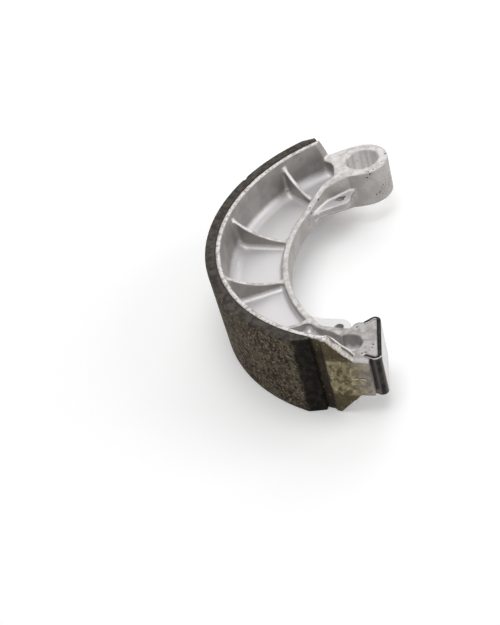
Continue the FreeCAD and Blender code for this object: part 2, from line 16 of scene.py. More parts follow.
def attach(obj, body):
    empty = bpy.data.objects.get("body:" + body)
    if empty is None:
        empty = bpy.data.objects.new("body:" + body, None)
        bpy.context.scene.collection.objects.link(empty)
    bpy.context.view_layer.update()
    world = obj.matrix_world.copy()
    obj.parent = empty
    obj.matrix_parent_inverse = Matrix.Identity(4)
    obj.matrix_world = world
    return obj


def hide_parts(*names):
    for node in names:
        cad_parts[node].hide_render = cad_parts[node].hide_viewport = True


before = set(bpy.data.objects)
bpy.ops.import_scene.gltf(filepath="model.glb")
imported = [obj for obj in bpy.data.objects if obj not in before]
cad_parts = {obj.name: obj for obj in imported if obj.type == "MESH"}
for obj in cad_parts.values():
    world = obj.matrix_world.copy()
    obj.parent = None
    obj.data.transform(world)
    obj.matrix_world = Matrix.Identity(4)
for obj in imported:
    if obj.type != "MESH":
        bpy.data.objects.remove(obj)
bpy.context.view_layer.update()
MM = 0.001

# %% [markdown]
# Real sizes that several pieces share
#
# The lining, the rim and the arm are all turned about the axis of the brake drum, so most shapes
# and stains are easiest to say as a radius and an angle about that axis. Angles are counted from
# the middle of the shoe, positive towards the pivot bore.

# %% Shared sizes
DRUM_AXIS = (12.55 * MM, -62.76 * MM)
DRUM_RADIUS = 80.0 * MM
BOND_RADIUS = 75.7 * MM
LINING_HALF_WIDTH = 20.0 * MM
LINING_HALF_ANGLE = math.radians(64.8)
FLOOR_LEVEL = -LINING_HALF_WIDTH


def linear(hex_colour):
    """An sRGB hex colour as the linear RGBA that a shader works in."""
    parts = np.array([int(hex_colour[place:place + 2], 16) for place in (1, 3, 5)]) / 255
    straight = np.where(parts <= 0.04045, parts / 12.92, ((parts + 0.055) / 1.055) ** 2.4)
    return straight.tolist() + [1.0]


# %% [markdown]
# Surface roughness as numbers
#
# Real cast and ground faces are never quite flat. Value noise gives that: random numbers sit on
# the corners of a cubic lattice, and every point takes a smooth blend of its cell's eight corners.
# It is worked out for all points at once.

# %% Value noise
LATTICE = 32


def value_noise(points, cell, seed):
    """Smooth noise from -1 to 1 at each point, for lattice cells of the given size in metres."""
    corners = np.random.default_rng(seed).uniform(-1, 1, (LATTICE, LATTICE, LATTICE))
    scaled = points / cell
    first = np.floor(scaled).astype(int)
    part = scaled - first
    part = part * part * (3 - 2 * part)
    total = np.zeros(len(points))
    for step in np.ndindex(2, 2, 2):
        weight = np.prod(np.where(step, part, 1 - part), axis=1)
        near = (first + step) % LATTICE
        total += weight * corners[near[:, 0], near[:, 1], near[:, 2]]
    return total


sample = value_noise(np.random.default_rng(1).uniform(0, 1, (1000, 3)), 0.1, 2)
print("Noise runs from %.2f to %.2f" % (sample.min(), sample.max()))

# %% [markdown]
# The casting
#
# Pressure die casting fills a steel mould with molten aluminium. Its edges come out rounded and
# its corners filled, because metal doesn't flow into sharp ones. The CAD solid has the shape but
# crisp edges. A bevel would have to find a way through hundreds of short edges, so the copy is
# rebuilt as an even skin of small cells instead. The skin is then blown up by the fillet radius,
# rebuilt, let down again and rebuilt once more: what the swollen walls closed in the corners stays
# closed, as a fillet. One round of smoothing takes the steps off the outer edges.

# %% Rebuild the casting's skin
CELL = 0.3 * MM
# Corners of the CAD solid's triangles that lie closer than this are one point
SAME_POINT = 0.001 * MM
FILLET = 1.5 * MM
SMOOTH_ROUNDS = 1
MOST_TRIANGLES = 190000
# Places with a fine gap that must stay open, each with the reach round it: both spring holes
# and the two grooves that hold the cap's lips
KEEP_OPEN = [
    ((-11.55 * MM, -18.35 * MM), 7.0 * MM),
    ((-11.55 * MM, -107.16 * MM), 6.0 * MM),
    ((2.0 * MM, -115.0 * MM), 4.5 * MM),
    ((2.0 * MM, -134.0 * MM), 4.5 * MM),
]


def evaluated(thing):
    """The mesh that an object's modifiers make of it."""
    graph = bpy.context.evaluated_depsgraph_get()
    return bpy.data.meshes.new_from_object(thing.evaluated_get(graph))


def new_piece(name, mesh, slot, *nodes):
    """An object at the origin that rides on the part and stands for the CAD nodes named."""
    piece = bpy.data.objects.new(name, mesh)
    bpy.context.scene.collection.objects.link(piece)
    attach(piece, "root")
    if nodes:
        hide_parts(*nodes)
    return piece


def read_points(mesh, what="co"):
    """The places or the normals of a mesh's vertices, one row each."""
    flat = np.empty(len(mesh.vertices) * 3)
    source, name = (mesh.vertices, "co") if what == "co" else (mesh.vertex_normals, "vector")
    source.foreach_get(name, flat)
    return flat.reshape(-1, 3)


def push(mesh, distance):
    """Moves each vertex along its normal by its own distance."""
    moved = read_points(mesh) + read_points(mesh, "normal") * distance[:, None]
    mesh.vertices.foreach_set("co", moved.ravel())
    mesh.update()


def reskinned(thing, rounds):
    """The object's mesh as even cells of one size, smoothed a number of times."""
    cells = thing.modifiers.new("cells", "REMESH")
    cells.mode = "VOXEL"
    cells.voxel_size = CELL
    soften = thing.modifiers.new("soften", "SMOOTH")
    soften.factor = 0.5
    soften.iterations = rounds
    mesh = evaluated(thing)
    thing.modifiers.clear()
    return mesh


def fillet_share(points):
    """1 where corners are filled, falling to 0 near each place that has to stay open."""
    share = np.ones(len(points))
    for (x, y), reach in KEEP_OPEN:
        gap = np.hypot(points[:, 0] - x, points[:, 1] - y)
        share = np.minimum(share, np.clip((gap - reach) / reach, 0, 1))
    return share


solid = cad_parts["shoe_casting"].data.copy()
casting = new_piece("casting_skin", solid, "cast_aluminium", "shoe_casting")
casting.modifiers.new("weld", "WELD").merge_threshold = SAME_POINT
casting.data = reskinned(casting, 0)
push(casting.data, FILLET * fillet_share(read_points(casting.data)))
casting.data = reskinned(casting, 0)
push(casting.data, -FILLET * fillet_share(read_points(casting.data)))
casting.data = reskinned(casting, SMOOTH_ROUNDS)
skin = casting.data
print("Casting skin:", len(skin.polygons), "faces before thinning")

# %% [markdown]
# Trimmed rims
#
# After casting, the rim's edges were cut free of the mould's flash, which left them slightly
# ragged. A displace modifier could do this, but only with a texture made for it. Here the skin's
# points are moved along their normals by the noise: a little everywhere, and more where they lie on
# the two trimmed rims. The skin is then thinned to a number of triangles that exports well.

# %% Roughen the skin
CAST_WAVE = 0.03 * MM
CAST_WAVE_SIZE = 3.0 * MM
RIM_RAGGED = 0.06 * MM
RIM_TOOTH_SIZE = 1.2 * MM
# Height over mid width from which a point counts as on a rim, and how soon it does so in full
RIM_TOP = 19.1 * MM
RIM_FADE = 0.4 * MM
# Share of the raggedness that only cuts inwards
CUT_IN = 0.4

places = read_points(skin)
trimmed = np.clip((np.abs(places[:, 2]) - RIM_TOP) / RIM_FADE, 0, 1)
wave = CAST_WAVE * value_noise(places, CAST_WAVE_SIZE, 3)
teeth = RIM_RAGGED * (value_noise(places, RIM_TOOTH_SIZE, 4) - CUT_IN)
push(skin, wave + trimmed * teeth)
thin = casting.modifiers.new("thin", "DECIMATE")
thin.ratio = min(1.0, MOST_TRIANGLES / (2 * len(skin.polygons)))
casting.data = evaluated(casting)
casting.modifiers.clear()
casting.data.shade_smooth()
print("Casting skin:", len(casting.data.polygons), "faces after thinning")

# %% [markdown]
# The friction lining
#
# The lining is pressed from fibres, metal dust, rubber and resin, and bonded to the rim. It could be
# a copy of the CAD solid, but its long thin triangles can't be dented. Its outline is simple, an
# arc with a flat lead ground on each end, so it is a rounded rectangle carried along the arc. The
# grid is fine enough that its pores, torn grains and chipped edges are real dents in the mesh.

# %% Carry a section along an arc
GRID_STEP = 0.5 * MM
EDGE_RADIUS = 0.35 * MM
# Arc of each ground lead, and the lining left at its thin end
PIVOT_LEAD = (math.radians(4.2), 2.2 * MM)
CAM_LEAD = (math.radians(4.9), 1.0 * MM)


def rounded_rectangle(width, height, radius, step):
    """Points round a rectangle from (0, 0) to (width, height): each corner is a quarter circle,
    its middle plus the radius times cosine and sine, and each side a straight run from its end."""
    turn = np.linspace(0, math.pi / 2, 4)
    runs = []
    # The middle of each corner's circle, and the straight run that follows it
    for corner, (middle_x, middle_y, run) in enumerate([
        (width - radius, height - radius, width - 2 * radius),
        (radius, height - radius, height - 2 * radius),
        (radius, radius, width - 2 * radius),
        (width - radius, radius, height - 2 * radius),
    ]):
        angle = turn + corner * math.pi / 2
        arc = np.stack([middle_x + radius * np.cos(angle), middle_y + radius * np.sin(angle)], axis=1)
        count = max(2, int(run / step))
        ahead = np.array([-np.sin(angle[-1]), np.cos(angle[-1])])
        straight = arc[-1] + ahead * np.linspace(0, run, count + 1)[1:-1, None]
        runs += [arc, straight]
    return np.concatenate(runs)


def tube_mesh(name, rings):
    """A closed mesh from rings of points, shaped (rings, points, 3). Each end is closed by a ladder,
    whose rungs join the points that lie opposite each other, counted from the ring's first."""
    count, around = rings.shape[:2]
    ring, spot = np.meshgrid(np.arange(count - 1), np.arange(around), indexing="ij")
    after = (spot + 1) % around
    sides = np.stack([ring * around + spot, ring * around + after, (ring + 1) * around + after,
                      (ring + 1) * around + spot], axis=-1).reshape(-1, 4)
    rung = np.arange(around // 2 - 1)
    ladder = np.stack([rung, rung + 1, around - 2 - rung, around - 1 - rung], axis=1)
    quads = np.concatenate([sides, ladder[:, ::-1], ladder + (count - 1) * around])
    mesh = bpy.data.meshes.new(name)
    mesh.from_pydata(rings.reshape(-1, 3).tolist(), [], quads.tolist())
    mesh.validate()
    mesh.shade_smooth()
    return mesh


lining_steps = int(2 * LINING_HALF_ANGLE * DRUM_RADIUS / GRID_STEP)
angles = np.linspace(-LINING_HALF_ANGLE, LINING_HALF_ANGLE, lining_steps)
full = DRUM_RADIUS - BOND_RADIUS
thickness = np.full(lining_steps, full)
for side, (arc, left) in ((1, PIVOT_LEAD), (-1, CAM_LEAD)):
    into = np.clip((side * angles - (LINING_HALF_ANGLE - arc)) / arc, 0, 1)
    thickness = np.minimum(thickness, full - into * (full - left))
section = rounded_rectangle(full, 2 * LINING_HALF_WIDTH, EDGE_RADIUS, GRID_STEP)
radii = BOND_RADIUS + section[None, :, 0] * (thickness / full)[:, None]
rings = np.stack([
    DRUM_AXIS[0] - radii * np.cos(angles)[:, None],
    DRUM_AXIS[1] + radii * np.sin(angles)[:, None],
    np.broadcast_to(section[None, :, 1] - LINING_HALF_WIDTH, radii.shape),
], axis=-1)
lining = new_piece("lining_block", tube_mesh("lining_block", rings), "friction_lining", "brake_lining")
print("Lining:", len(lining.data.polygons), "faces")

# %% [markdown]
# Pores and chips of the lining
#
# The ground back of the lining is open-grained: small pores where grains tore out, and a soft
# unevenness between them. Its two side faces are the pressed skin of the block and nearly smooth.
# Two larger flaws sit on the upper edge. All of it is one push along the normals, pore depth times
# the noise's peaks. The same step stores where the ground leads are, for the lining's colour.

# %% Roughen the lining
PORE_DEPTH = 0.22 * MM
PORE_SIZE = 1.1 * MM
LINING_WAVE = 0.05 * MM
GRAIN_SIZE = 0.6 * MM
# How far over the glued face the dents reach their full depth
GLUE_MARGIN = 0.5 * MM
# How far the painted shade of a lead takes to fade into the lining
LEAD_BORDER = math.radians(4.2)
# Angle, radius, height, reach and depth of each flaw
FLAWS = [
    (math.radians(35.0), 80.0 * MM, 20.0 * MM, 1.5 * MM, 0.7 * MM),
    (math.radians(-30.0), 79.4 * MM, 20.0 * MM, 1.0 * MM, 0.8 * MM),
]

block = lining.data
places = read_points(block)
normals = read_points(block, "normal")
away = np.hypot(places[:, 0] - DRUM_AXIS[0], places[:, 1] - DRUM_AXIS[1])
# The glued face stays as it is, and a side face takes a quarter of the dents
outer = np.clip((away - BOND_RADIUS) / GLUE_MARGIN, 0, 1)
face = np.clip(1 - np.abs(normals[:, 2]) * 1.2, 0, 1)
pores = np.clip(value_noise(places, PORE_SIZE, 11) - 0.5, 0, 0.5) * 2
grain = value_noise(places, GRAIN_SIZE, 12)
shift = -outer * (0.25 + 0.75 * face) * (PORE_DEPTH * pores + LINING_WAVE * (0.6 + 0.4 * grain))
for angle, radius, height, reach, depth in FLAWS:
    spot = (DRUM_AXIS[0] - radius * math.cos(angle), DRUM_AXIS[1] + radius * math.sin(angle), height)
    gap = np.linalg.norm(places - np.array(spot), axis=1) / reach
    shift -= depth * np.clip(1 - gap, 0, 1)
push(block, shift)
along = np.arctan2(places[:, 1] - DRUM_AXIS[1], DRUM_AXIS[0] - places[:, 0])
lead = np.clip((-along - (LINING_HALF_ANGLE - CAM_LEAD[0])) / LEAD_BORDER + 0.5, 0, 1)
lead += np.clip((along - (LINING_HALF_ANGLE - PIVOT_LEAD[0])) / LEAD_BORDER + 0.5, 0, 1)
block.attributes.new("lead", "FLOAT", "POINT").data.foreach_set("value", lead)
print("Deepest dent in the lining: %.2f mm" % (-shift.min() / MM))

# %% [markdown]
# The steel cap
#
# A strip of spring steel, 1.5 mm thick, is folded round the end of the arm so that the hard cam
# doesn't wear the soft aluminium. Its outside is a flat face and two lips joined by two folds. A
# sheet with a Solidify modifier would do, but its stamped edges would stay sharp. So the outline is
# worked out for the outside and the inside of the sheet and carried across the strip's width, with
# the outermost sections drawn in a little for rounded edges.

# %% Fold the cap
SHEET = 1.5 * MM
FACE_X = 6.75 * MM
CAP_MIDDLE = -124.415 * MM
# From the middle of the cap to the centre of each fold, along the face
FOLD_CENTRE = 9.74 * MM
FOLD_RADIUS = 2.5 * MM
LIP = 3.69 * MM
LIP_TURN = math.radians(122)
FOLD_POINTS = 17
FLAT_POINTS = 8
CAP_HALF_WIDTH = 10.0 * MM
# The strip is wider than the arm and lies flush with its front
CAP_SHIFT = -0.75 * MM
EDGE_SOFT = 0.3 * MM


def offset_fold(offset):
    """Half of the strip's outline from the face's middle to the lip's end: a straight face, an arc
    of the fold's radius less the offset, and a straight lip that goes on from the arc's end."""
    turn = np.linspace(0, LIP_TURN, FOLD_POINTS)
    arc = (FOLD_RADIUS - offset) * np.stack([np.cos(turn), np.sin(turn)], axis=1)
    fold = arc + np.array([FACE_X - FOLD_RADIUS, FOLD_CENTRE])
    ahead = np.array([-math.sin(LIP_TURN), math.cos(LIP_TURN)])
    lip = fold[-1] + ahead * np.linspace(0, LIP, FLAT_POINTS)[1:, None]
    along = np.linspace(0, FOLD_CENTRE, FLAT_POINTS, endpoint=False)
    face = np.stack([np.full(FLAT_POINTS, FACE_X - offset), along], axis=1)
    return np.concatenate([face, fold, lip])


def cap_outline(inset):
    """The whole outline of the strip, drawn in by the inset."""
    outside, inside = offset_fold(inset), offset_fold(SHEET - inset)
    flip = np.array([1, -1])
    outer_line = np.concatenate([(outside * flip)[:0:-1], outside])
    inner_line = np.concatenate([(inside * flip)[:0:-1], inside])
    return np.concatenate([outer_line, inner_line[::-1]]) + np.array([0, CAP_MIDDLE])


heights = np.array([-1, -1, -1, -0.6, -0.2, 0.2, 0.6, 1, 1, 1]) * CAP_HALF_WIDTH
heights[1:3] += EDGE_SOFT * np.array([0.3, 1])
heights[-3:-1] -= EDGE_SOFT * np.array([1, 0.3])
heights += CAP_SHIFT
insets = np.zeros(len(heights))
insets[[0, -1]] = EDGE_SOFT
insets[[1, -2]] = 0.3 * EDGE_SOFT
outlines = np.stack([cap_outline(inset) for inset in insets])
levels = np.broadcast_to(heights[:, None, None], outlines.shape[:2] + (1,))
rings = np.concatenate([outlines, levels], axis=2)
cap = new_piece("wear_cap", tube_mesh("wear_cap", rings), "cap_steel", "cam_end_cap")
print("Cap:", len(cap.data.polygons), "faces")

# %% [markdown]
# Building a material
#
# A material is a tree of nodes. It could be clicked together and saved, but a script shows every
# number. One helper adds a node, sets it up, joins its inputs and hands on its output, so that each
# line below reads as one step. Three kinds of node do most of the work. Map Range as a smooth step
# turns a value into a share from 0 to 1, or to another top where its fifth input gives one. Mix lays
# one colour over another by such a share. Noise gives blotches. Patterns read Object coordinates,
# which are metres here, so a noise's scale is one over the size of its blotches.

# %% Node helper
SMOOTH_STEP = {"interpolation_type": "SMOOTHSTEP"}
COLOURS = {"data_type": "RGBA"}


def add_node(tree, kind, inputs=(), result=None, **settings):
    """Adds one node with its settings and gives back one output, the first if none is named. The
    inputs are a dictionary by name, or a list in the order in which the node shows them, and each
    is a value, a hex colour or another node's output."""
    made = tree.nodes.new("ShaderNode" + kind)
    for name, value in settings.items():
        setattr(made, name, value)
    if isinstance(inputs, dict):
        pairs = [(made.inputs[name], value) for name, value in inputs.items()]
    else:
        pairs = zip([socket for socket in made.inputs if socket.enabled], inputs)
    for socket, value in pairs:
        if isinstance(value, bpy.types.NodeSocket):
            tree.links.new(value, socket)
        else:
            socket.default_value = linear(value) if isinstance(value, str) else value
    if result:
        return made.outputs[result]
    return next((socket for socket in made.outputs if socket.enabled), None)


def new_material(name):
    """An empty material and its tree."""
    material = bpy.data.materials.new(name)
    material.use_nodes = True
    material.node_tree.nodes.clear()
    return material, material.node_tree


def dress(piece, material):
    """Gives a piece one material all over."""
    piece.data.materials.clear()
    piece.data.materials.append(material)
    print("%s: %d nodes on %s" % (material.name, len(material.node_tree.nodes), piece.name))


# %% [markdown]
# Die-cast aluminium
#
# Aluminium straight from the mould is a pale, satin grey. Faces that lie flat are painted lighter than
# the upright ones, as painted light from above, and outer edges and filled corners get painted
# highlights, the lightest tone. A painted image would need the casting unwrapped, so the tone comes
# from the direction of the face and from how sharply the surface bends, which Pointiness gives: 0.5
# where it is flat, more on edges and less in corners.

# %% Cast skin
BLOTCH_SIZE = 7.0 * MM

aluminium, tree = new_material("die_cast_aluminium")
place = add_node(tree, "TexCoord", result="Object")
facing = add_node(tree, "TexCoord", result="Normal")
x, y, z = [add_node(tree, "SeparateXYZ", [place], result=axis) for axis in "XYZ"]
level = add_node(tree, "Math", [z], operation="ABSOLUTE")
upward = add_node(tree, "SeparateXYZ", [facing], result="Z")
flat = add_node(tree, "Math", [upward], operation="ABSOLUTE")

blotches = add_node(tree, "TexNoise", [place, 1 / BLOTCH_SIZE, 2.0])
blotched = add_node(tree, "MapRange", [blotches, 0.35, 0.65], **SMOOTH_STEP)
# Upright walls: a blotched tone, darkened as painted shade
blotched_wall_shade = add_node(tree, "Mix", [blotched, "#a6a29f", "#b5b1ae"], **COLOURS)
# Painted light: faces that lie flat are drawn lighter than the upright walls
painted_flat_light = add_node(tree, "MapRange", [flat, 0.1, 0.55], **SMOOTH_STEP)
colour = add_node(tree, "Mix", [painted_flat_light, blotched_wall_shade, "#dcdadb"], **COLOURS)
bend = add_node(tree, "NewGeometry", result="Pointiness")
# Painted highlights on the outer edges and in the filled corners
edge_highlight = add_node(tree, "MapRange", [bend, 0.51, 0.58, 0.0, 0.7], **SMOOTH_STEP)
colour = add_node(tree, "Mix", [edge_highlight, colour, "#efecea"], **COLOURS)
corner_highlight = add_node(tree, "MapRange", [bend, 0.495, 0.475, 0.0, 0.7], **SMOOTH_STEP)
colour = add_node(tree, "Mix", [corner_highlight, colour, "#f4f2f1"], **COLOURS)
print("Cast skin:", len(tree.nodes), "nodes")

# %% [markdown]
# Trimmed and worn faces
#
# Faces that were trimmed or rubbed have lost the cast skin and are whiter. They could be painted by
# hand, but they all look up or down and stand well clear of the web, so those two things mark them.
# The boss and the arm are smooth, and greyer towards the steel cap. The tops of the ribs carry a
# painted highlight, the lightest tone, and the two thin rims have the grain of a saw cut.

# %% Trimmed faces
# Heights over mid width between which the web ends and the trimmed faces begin
WEB_TOP = (3.5 * MM, 5.0 * MM)
# The boss and the arm end below these heights, and the ribs rise above them
ARM_TOP = (9.5 * MM, 10.0 * MM)
# The rims lie above these heights
RIM_LEVEL = (17.5 * MM, 18.6 * MM)
# Where along the arm its worn part begins
WORN_Y = (-109.0 * MM, -113.0 * MM)
WORN_X = (-11.0 * MM, -9.0 * MM)
WIPE_SIZE = 2.6 * MM
SAW_GRAIN = 1.2 * MM

lying = add_node(tree, "MapRange", [flat, 0.25, 0.6], **SMOOTH_STEP)
raised = add_node(tree, "MapRange", [level, *WEB_TOP], **SMOOTH_STEP)
trimmed_face = add_node(tree, "Math", [lying, raised], operation="MULTIPLY")

wiped = add_node(tree, "TexNoise", [place, 1 / WIPE_SIZE, 4.0])
patchy = add_node(tree, "MapRange", [wiped, 0.35, 0.65], **SMOOTH_STEP)
trim_colour = add_node(tree, "Mix", [patchy, "#bfbbb8", "#d8d5d3"], **COLOURS)
patchy = add_node(tree, "MapRange", [wiped, 0.35, 0.60], **SMOOTH_STEP)
worn_colour = add_node(tree, "Mix", [patchy, "#9c9895", "#b9b5b3"], **COLOURS)
along_y = add_node(tree, "MapRange", [y, *WORN_Y], **SMOOTH_STEP)
along_x = add_node(tree, "MapRange", [x, *WORN_X], **SMOOTH_STEP)
worn = add_node(tree, "Math", [along_y, along_x], operation="MULTIPLY")
trim_colour = add_node(tree, "Mix", [worn, trim_colour, worn_colour], **COLOURS)
# Painted highlight on the tops of the ribs
rib_top_highlight = add_node(tree, "MapRange", [level, *ARM_TOP], **SMOOTH_STEP)
trim_colour = add_node(tree, "Mix", [rib_top_highlight, trim_colour, "#eae8e7"], **COLOURS)

sawn = add_node(tree, "TexNoise", [place, 1 / SAW_GRAIN, 3.0])
grained = add_node(tree, "MapRange", [sawn, 0.34, 0.56], **SMOOTH_STEP)
rim_colour = add_node(tree, "Mix", [grained, "#a8a29d", "#dedad8"], **COLOURS)
on_rim = add_node(tree, "MapRange", [level, *RIM_LEVEL], **SMOOTH_STEP)
trim_colour = add_node(tree, "Mix", [on_rim, trim_colour, rim_colour], **COLOURS)
colour = add_node(tree, "Mix", [trimmed_face, colour, trim_colour], **COLOURS)
print("With the trimmed faces:", len(tree.nodes), "nodes")

# %% [markdown]
# The reamed bore
#
# The bore for the pivot pin was reamed, so its wall is bright and shows faint bands along its axis. A
# noise that is squeezed by a Mapping node along one axis becomes such bands. The same node with no
# scale at all along the axis leaves the distance from it, which tells the bore's wall from the rest.

# %% Reamed bore
# The bore's radius is 7.5 mm, and its wall fades out over its chamfer between these distances
BORE_WALL = (7.8 * MM, 7.6 * MM)
BAND_SIZE = 2.5 * MM
BAND_STRETCH = 10

flattened = add_node(tree, "Mapping", {"Vector": place, "Scale": (1, 1, 0)})
from_pin = add_node(tree, "VectorMath", [flattened], operation="LENGTH")
squeezed = add_node(tree, "Mapping", {"Vector": place, "Scale": (1, 1, 1 / BAND_STRETCH)})
bands = add_node(tree, "TexNoise", [squeezed, 1 / BAND_SIZE, 3.0])
banded = add_node(tree, "MapRange", [bands, 0.35, 0.65], **SMOOTH_STEP)
reamed = add_node(tree, "Mix", [banded, "#dedbd9", "#f8f7f6"], **COLOURS)
in_bore = add_node(tree, "MapRange", [from_pin, *BORE_WALL], **SMOOTH_STEP)
colour = add_node(tree, "Mix", [in_bore, colour, reamed], **COLOURS)
print("With the bore:", len(tree.nodes), "nodes")

# %% [markdown]
# Fine pores
#
# Gas that was trapped in the melt leaves pores, which show as dark specks where they open. They come
# in patches, and a single noise would spread them evenly. So one noise gives the specks and a wider
# one says where they gather. Four places of this casting are full of them, and the web has none.

# %% Fine pores
# Centre and size of each patch that is full of fine pores
PORE_PATCHES = [
    ((9.5 * MM, -8.0 * MM, -2.0 * MM), 8.0 * MM),
    ((3.0 * MM, -12.0 * MM, 7.0 * MM), 3.5 * MM),
    ((-34.2 * MM, -67.0 * MM, 5.0 * MM), 5.0 * MM),
    ((-26.0 * MM, -30.5 * MM, 2.0 * MM), 4.0 * MM),
]
SPECK_SIZE = 0.8 * MM
FINE_SPECK_SIZE = 0.55 * MM
# How wide the areas are in which specks gather or stay away
GATHER_SIZE = 8.0 * MM

specks = add_node(tree, "TexNoise", [place, 1 / SPECK_SIZE, 2.0])
specks = add_node(tree, "MapRange", [specks, 0.62, 0.69], **SMOOTH_STEP)
gathered = add_node(tree, "TexNoise", [place, 1 / GATHER_SIZE, 1.0])
gathered = add_node(tree, "MapRange", [gathered, 0.45, 0.6], **SMOOTH_STEP)
open_metal = add_node(tree, "Math", [specks, gathered], operation="MULTIPLY")
fine_specks = add_node(tree, "TexNoise", [place, 1 / FINE_SPECK_SIZE, 2.0])
fine_specks = add_node(tree, "MapRange", [fine_specks, 0.55, 0.64], **SMOOTH_STEP)
for spot, reach in PORE_PATCHES:
    gap = add_node(tree, "VectorMath", [place, spot], operation="DISTANCE")
    patch = add_node(tree, "MapRange", [gap, reach, reach * 0.4], **SMOOTH_STEP)
    patch = add_node(tree, "Math", [patch, fine_specks], operation="MULTIPLY")
    open_metal = add_node(tree, "Math", [open_metal, patch], operation="MAXIMUM")
lying = add_node(tree, "MapRange", [flat, 0.4, 0.7], **SMOOTH_STEP)
low = add_node(tree, "MapRange", [level, *reversed(WEB_TOP)], **SMOOTH_STEP)
on_web = add_node(tree, "Math", [lying, low], operation="MULTIPLY")
open_metal = add_node(tree, "Math", [open_metal, on_web], operation="SUBTRACT", use_clamp=True)
darkened = add_node(tree, "Math", [open_metal, 0.55], operation="MULTIPLY")
colour = add_node(tree, "Mix", [darkened, colour, "#5a5551"], **COLOURS)
print("With %d patches of pores:" % len(PORE_PATCHES), len(tree.nodes), "nodes")

# %% [markdown]
# Single pits
#
# The larger pits are few enough to be set one by one, where the casting has them. A noise can't do
# that, and a dent in the mesh would be only two or three cells wide. So each pit is a ball in space
# that darkens whatever surface it cuts, by the distance from the ball's centre.

# %% Single pits
# Centre and size of each pit
PITS = [
    ((-0.95 * MM, -132.5 * MM, 9.25 * MM), 0.45 * MM),
    ((0.45 * MM, -132.2 * MM, 9.25 * MM), 0.4 * MM),
    ((3.6 * MM, -128.4 * MM, 9.25 * MM), 0.4 * MM),
    ((3.05 * MM, -129.9 * MM, 9.25 * MM), 0.35 * MM),
    ((-2.76 * MM, -117.2 * MM, 9.25 * MM), 0.45 * MM),
    ((11.24 * MM, 1.3 * MM, 9.2 * MM), 0.6 * MM),
    ((9.5 * MM, -4.7 * MM, 9.2 * MM), 0.4 * MM),
    ((5.4 * MM, -9.9 * MM, 9.1 * MM), 0.5 * MM),
    ((3.1 * MM, -11.3 * MM, 9.1 * MM), 0.4 * MM),
    ((2.1 * MM, -12.2 * MM, 6.7 * MM), 0.5 * MM),
    ((3.7 * MM, -11.8 * MM, 8.2 * MM), 0.5 * MM),
    ((6.6 * MM, -10.5 * MM, -3.7 * MM), 0.45 * MM),
    ((8.6 * MM, -9.0 * MM, -0.9 * MM), 0.4 * MM),
    ((4.9 * MM, -11.4 * MM, -4.1 * MM), 0.4 * MM),
    ((-13.6 * MM, -18.9 * MM, 1.6 * MM), 0.45 * MM),
    ((-9.5 * MM, -17.3 * MM, 1.6 * MM), 0.7 * MM),
    ((-20.8 * MM, -23.0 * MM, 6.1 * MM), 0.6 * MM),
    ((-24.8 * MM, -27.4 * MM, 5.4 * MM), 0.35 * MM),
    ((-24.5 * MM, -28.9 * MM, 3.3 * MM), 0.5 * MM),
    ((-26.3 * MM, -32.2 * MM, -0.4 * MM), 0.35 * MM),
    ((-50.1 * MM, -21.5 * MM, 19.6 * MM), 0.35 * MM),
    ((-58.1 * MM, -38.5 * MM, 19.6 * MM), 0.35 * MM),
]

holes = open_metal
for spot, reach in PITS:
    gap = add_node(tree, "VectorMath", [place, spot], operation="DISTANCE")
    pit = add_node(tree, "MapRange", [gap, reach * 1.3, reach * 0.5], **SMOOTH_STEP)
    darkened = add_node(tree, "Math", [pit, 0.85], operation="MULTIPLY")
    colour = add_node(tree, "Mix", [darkened, colour, "#2b2724"], **COLOURS)
    holes = add_node(tree, "Math", [holes, pit], operation="MAXIMUM")
print("With %d pits:" % len(PITS), len(tree.nodes), "nodes")

# %% [markdown]
# The stain behind the lining
#
# The outer face of the arm is stained olive brown next to the lining, as by resin and fumes when the
# adhesive cured in an oven, and fades to a dried grey towards the cap. Right against the lining a dark
# brown strip is painted shadow, and where the face rises above the arm's front it is darkened as
# painted shade. The face is part of a cylinder about the drum's axis. So the radius and the angle
# about that axis say both where it is and how far along the stain has come, and no face has to be
# picked. A noise added to the angle makes the stain's border wander.

# %% Stained arm
# Radii between which the arm's inside ends and its outer face begins
OUTER_FACE = (74.9 * MM, 75.3 * MM)
# The pivot end has no stain: it begins between these angles, counted down from the bore
CAM_END = (math.radians(60), math.radians(50))
# How far the cloud moves the stain's border, as an angle, of which half is the cloud's average
STAIN_WANDER = 0.3
STAIN_FADE = (math.radians(-82.0) + STAIN_WANDER / 2, math.radians(-75.0) + STAIN_WANDER / 2)
# Heights over mid width between which painted shade darkens the stained face
SHADED_SIDE = (9.4 * MM, 11.0 * MM)
# The painted shadow in a dark brown strip next to the lining, and how it fades towards the upper edge
SHADOW_STRIP = (math.radians(-69.4), math.radians(-67.4))
SHADOW_STRIP_FADE = (20.0 * MM, 11.0 * MM)
CLOUD_SIZE = 2.4 * MM
FLAKE_SIZE = 1.8 * MM
CHIP_SIZE = 0.7 * MM
# How far the cloud moves the edge of the painted shade on the sides
SHADE_WANDER = 2.0 * MM

about_axis = add_node(tree, "Mapping", {
    "Vector": place,
    "Location": (DRUM_AXIS[0], -DRUM_AXIS[1], 0),
    "Scale": (-1, 1, 0),
})
radius = add_node(tree, "VectorMath", [about_axis], operation="LENGTH")
inward, sidelong = [add_node(tree, "SeparateXYZ", [about_axis], result=axis) for axis in "XY"]
angle = add_node(tree, "Math", [sidelong, inward], operation="ARCTAN2")
outward = add_node(tree, "MapRange", [radius, *OUTER_FACE], **SMOOTH_STEP)
this_end = add_node(tree, "MapRange", [angle, *CAM_END], **SMOOTH_STEP)
upright = add_node(tree, "MapRange", [flat, 0.45, 0.15], **SMOOTH_STEP)
arm_face = add_node(tree, "Math", [outward, this_end], operation="MULTIPLY")
arm_face = add_node(tree, "Math", [arm_face, upright], operation="MULTIPLY")

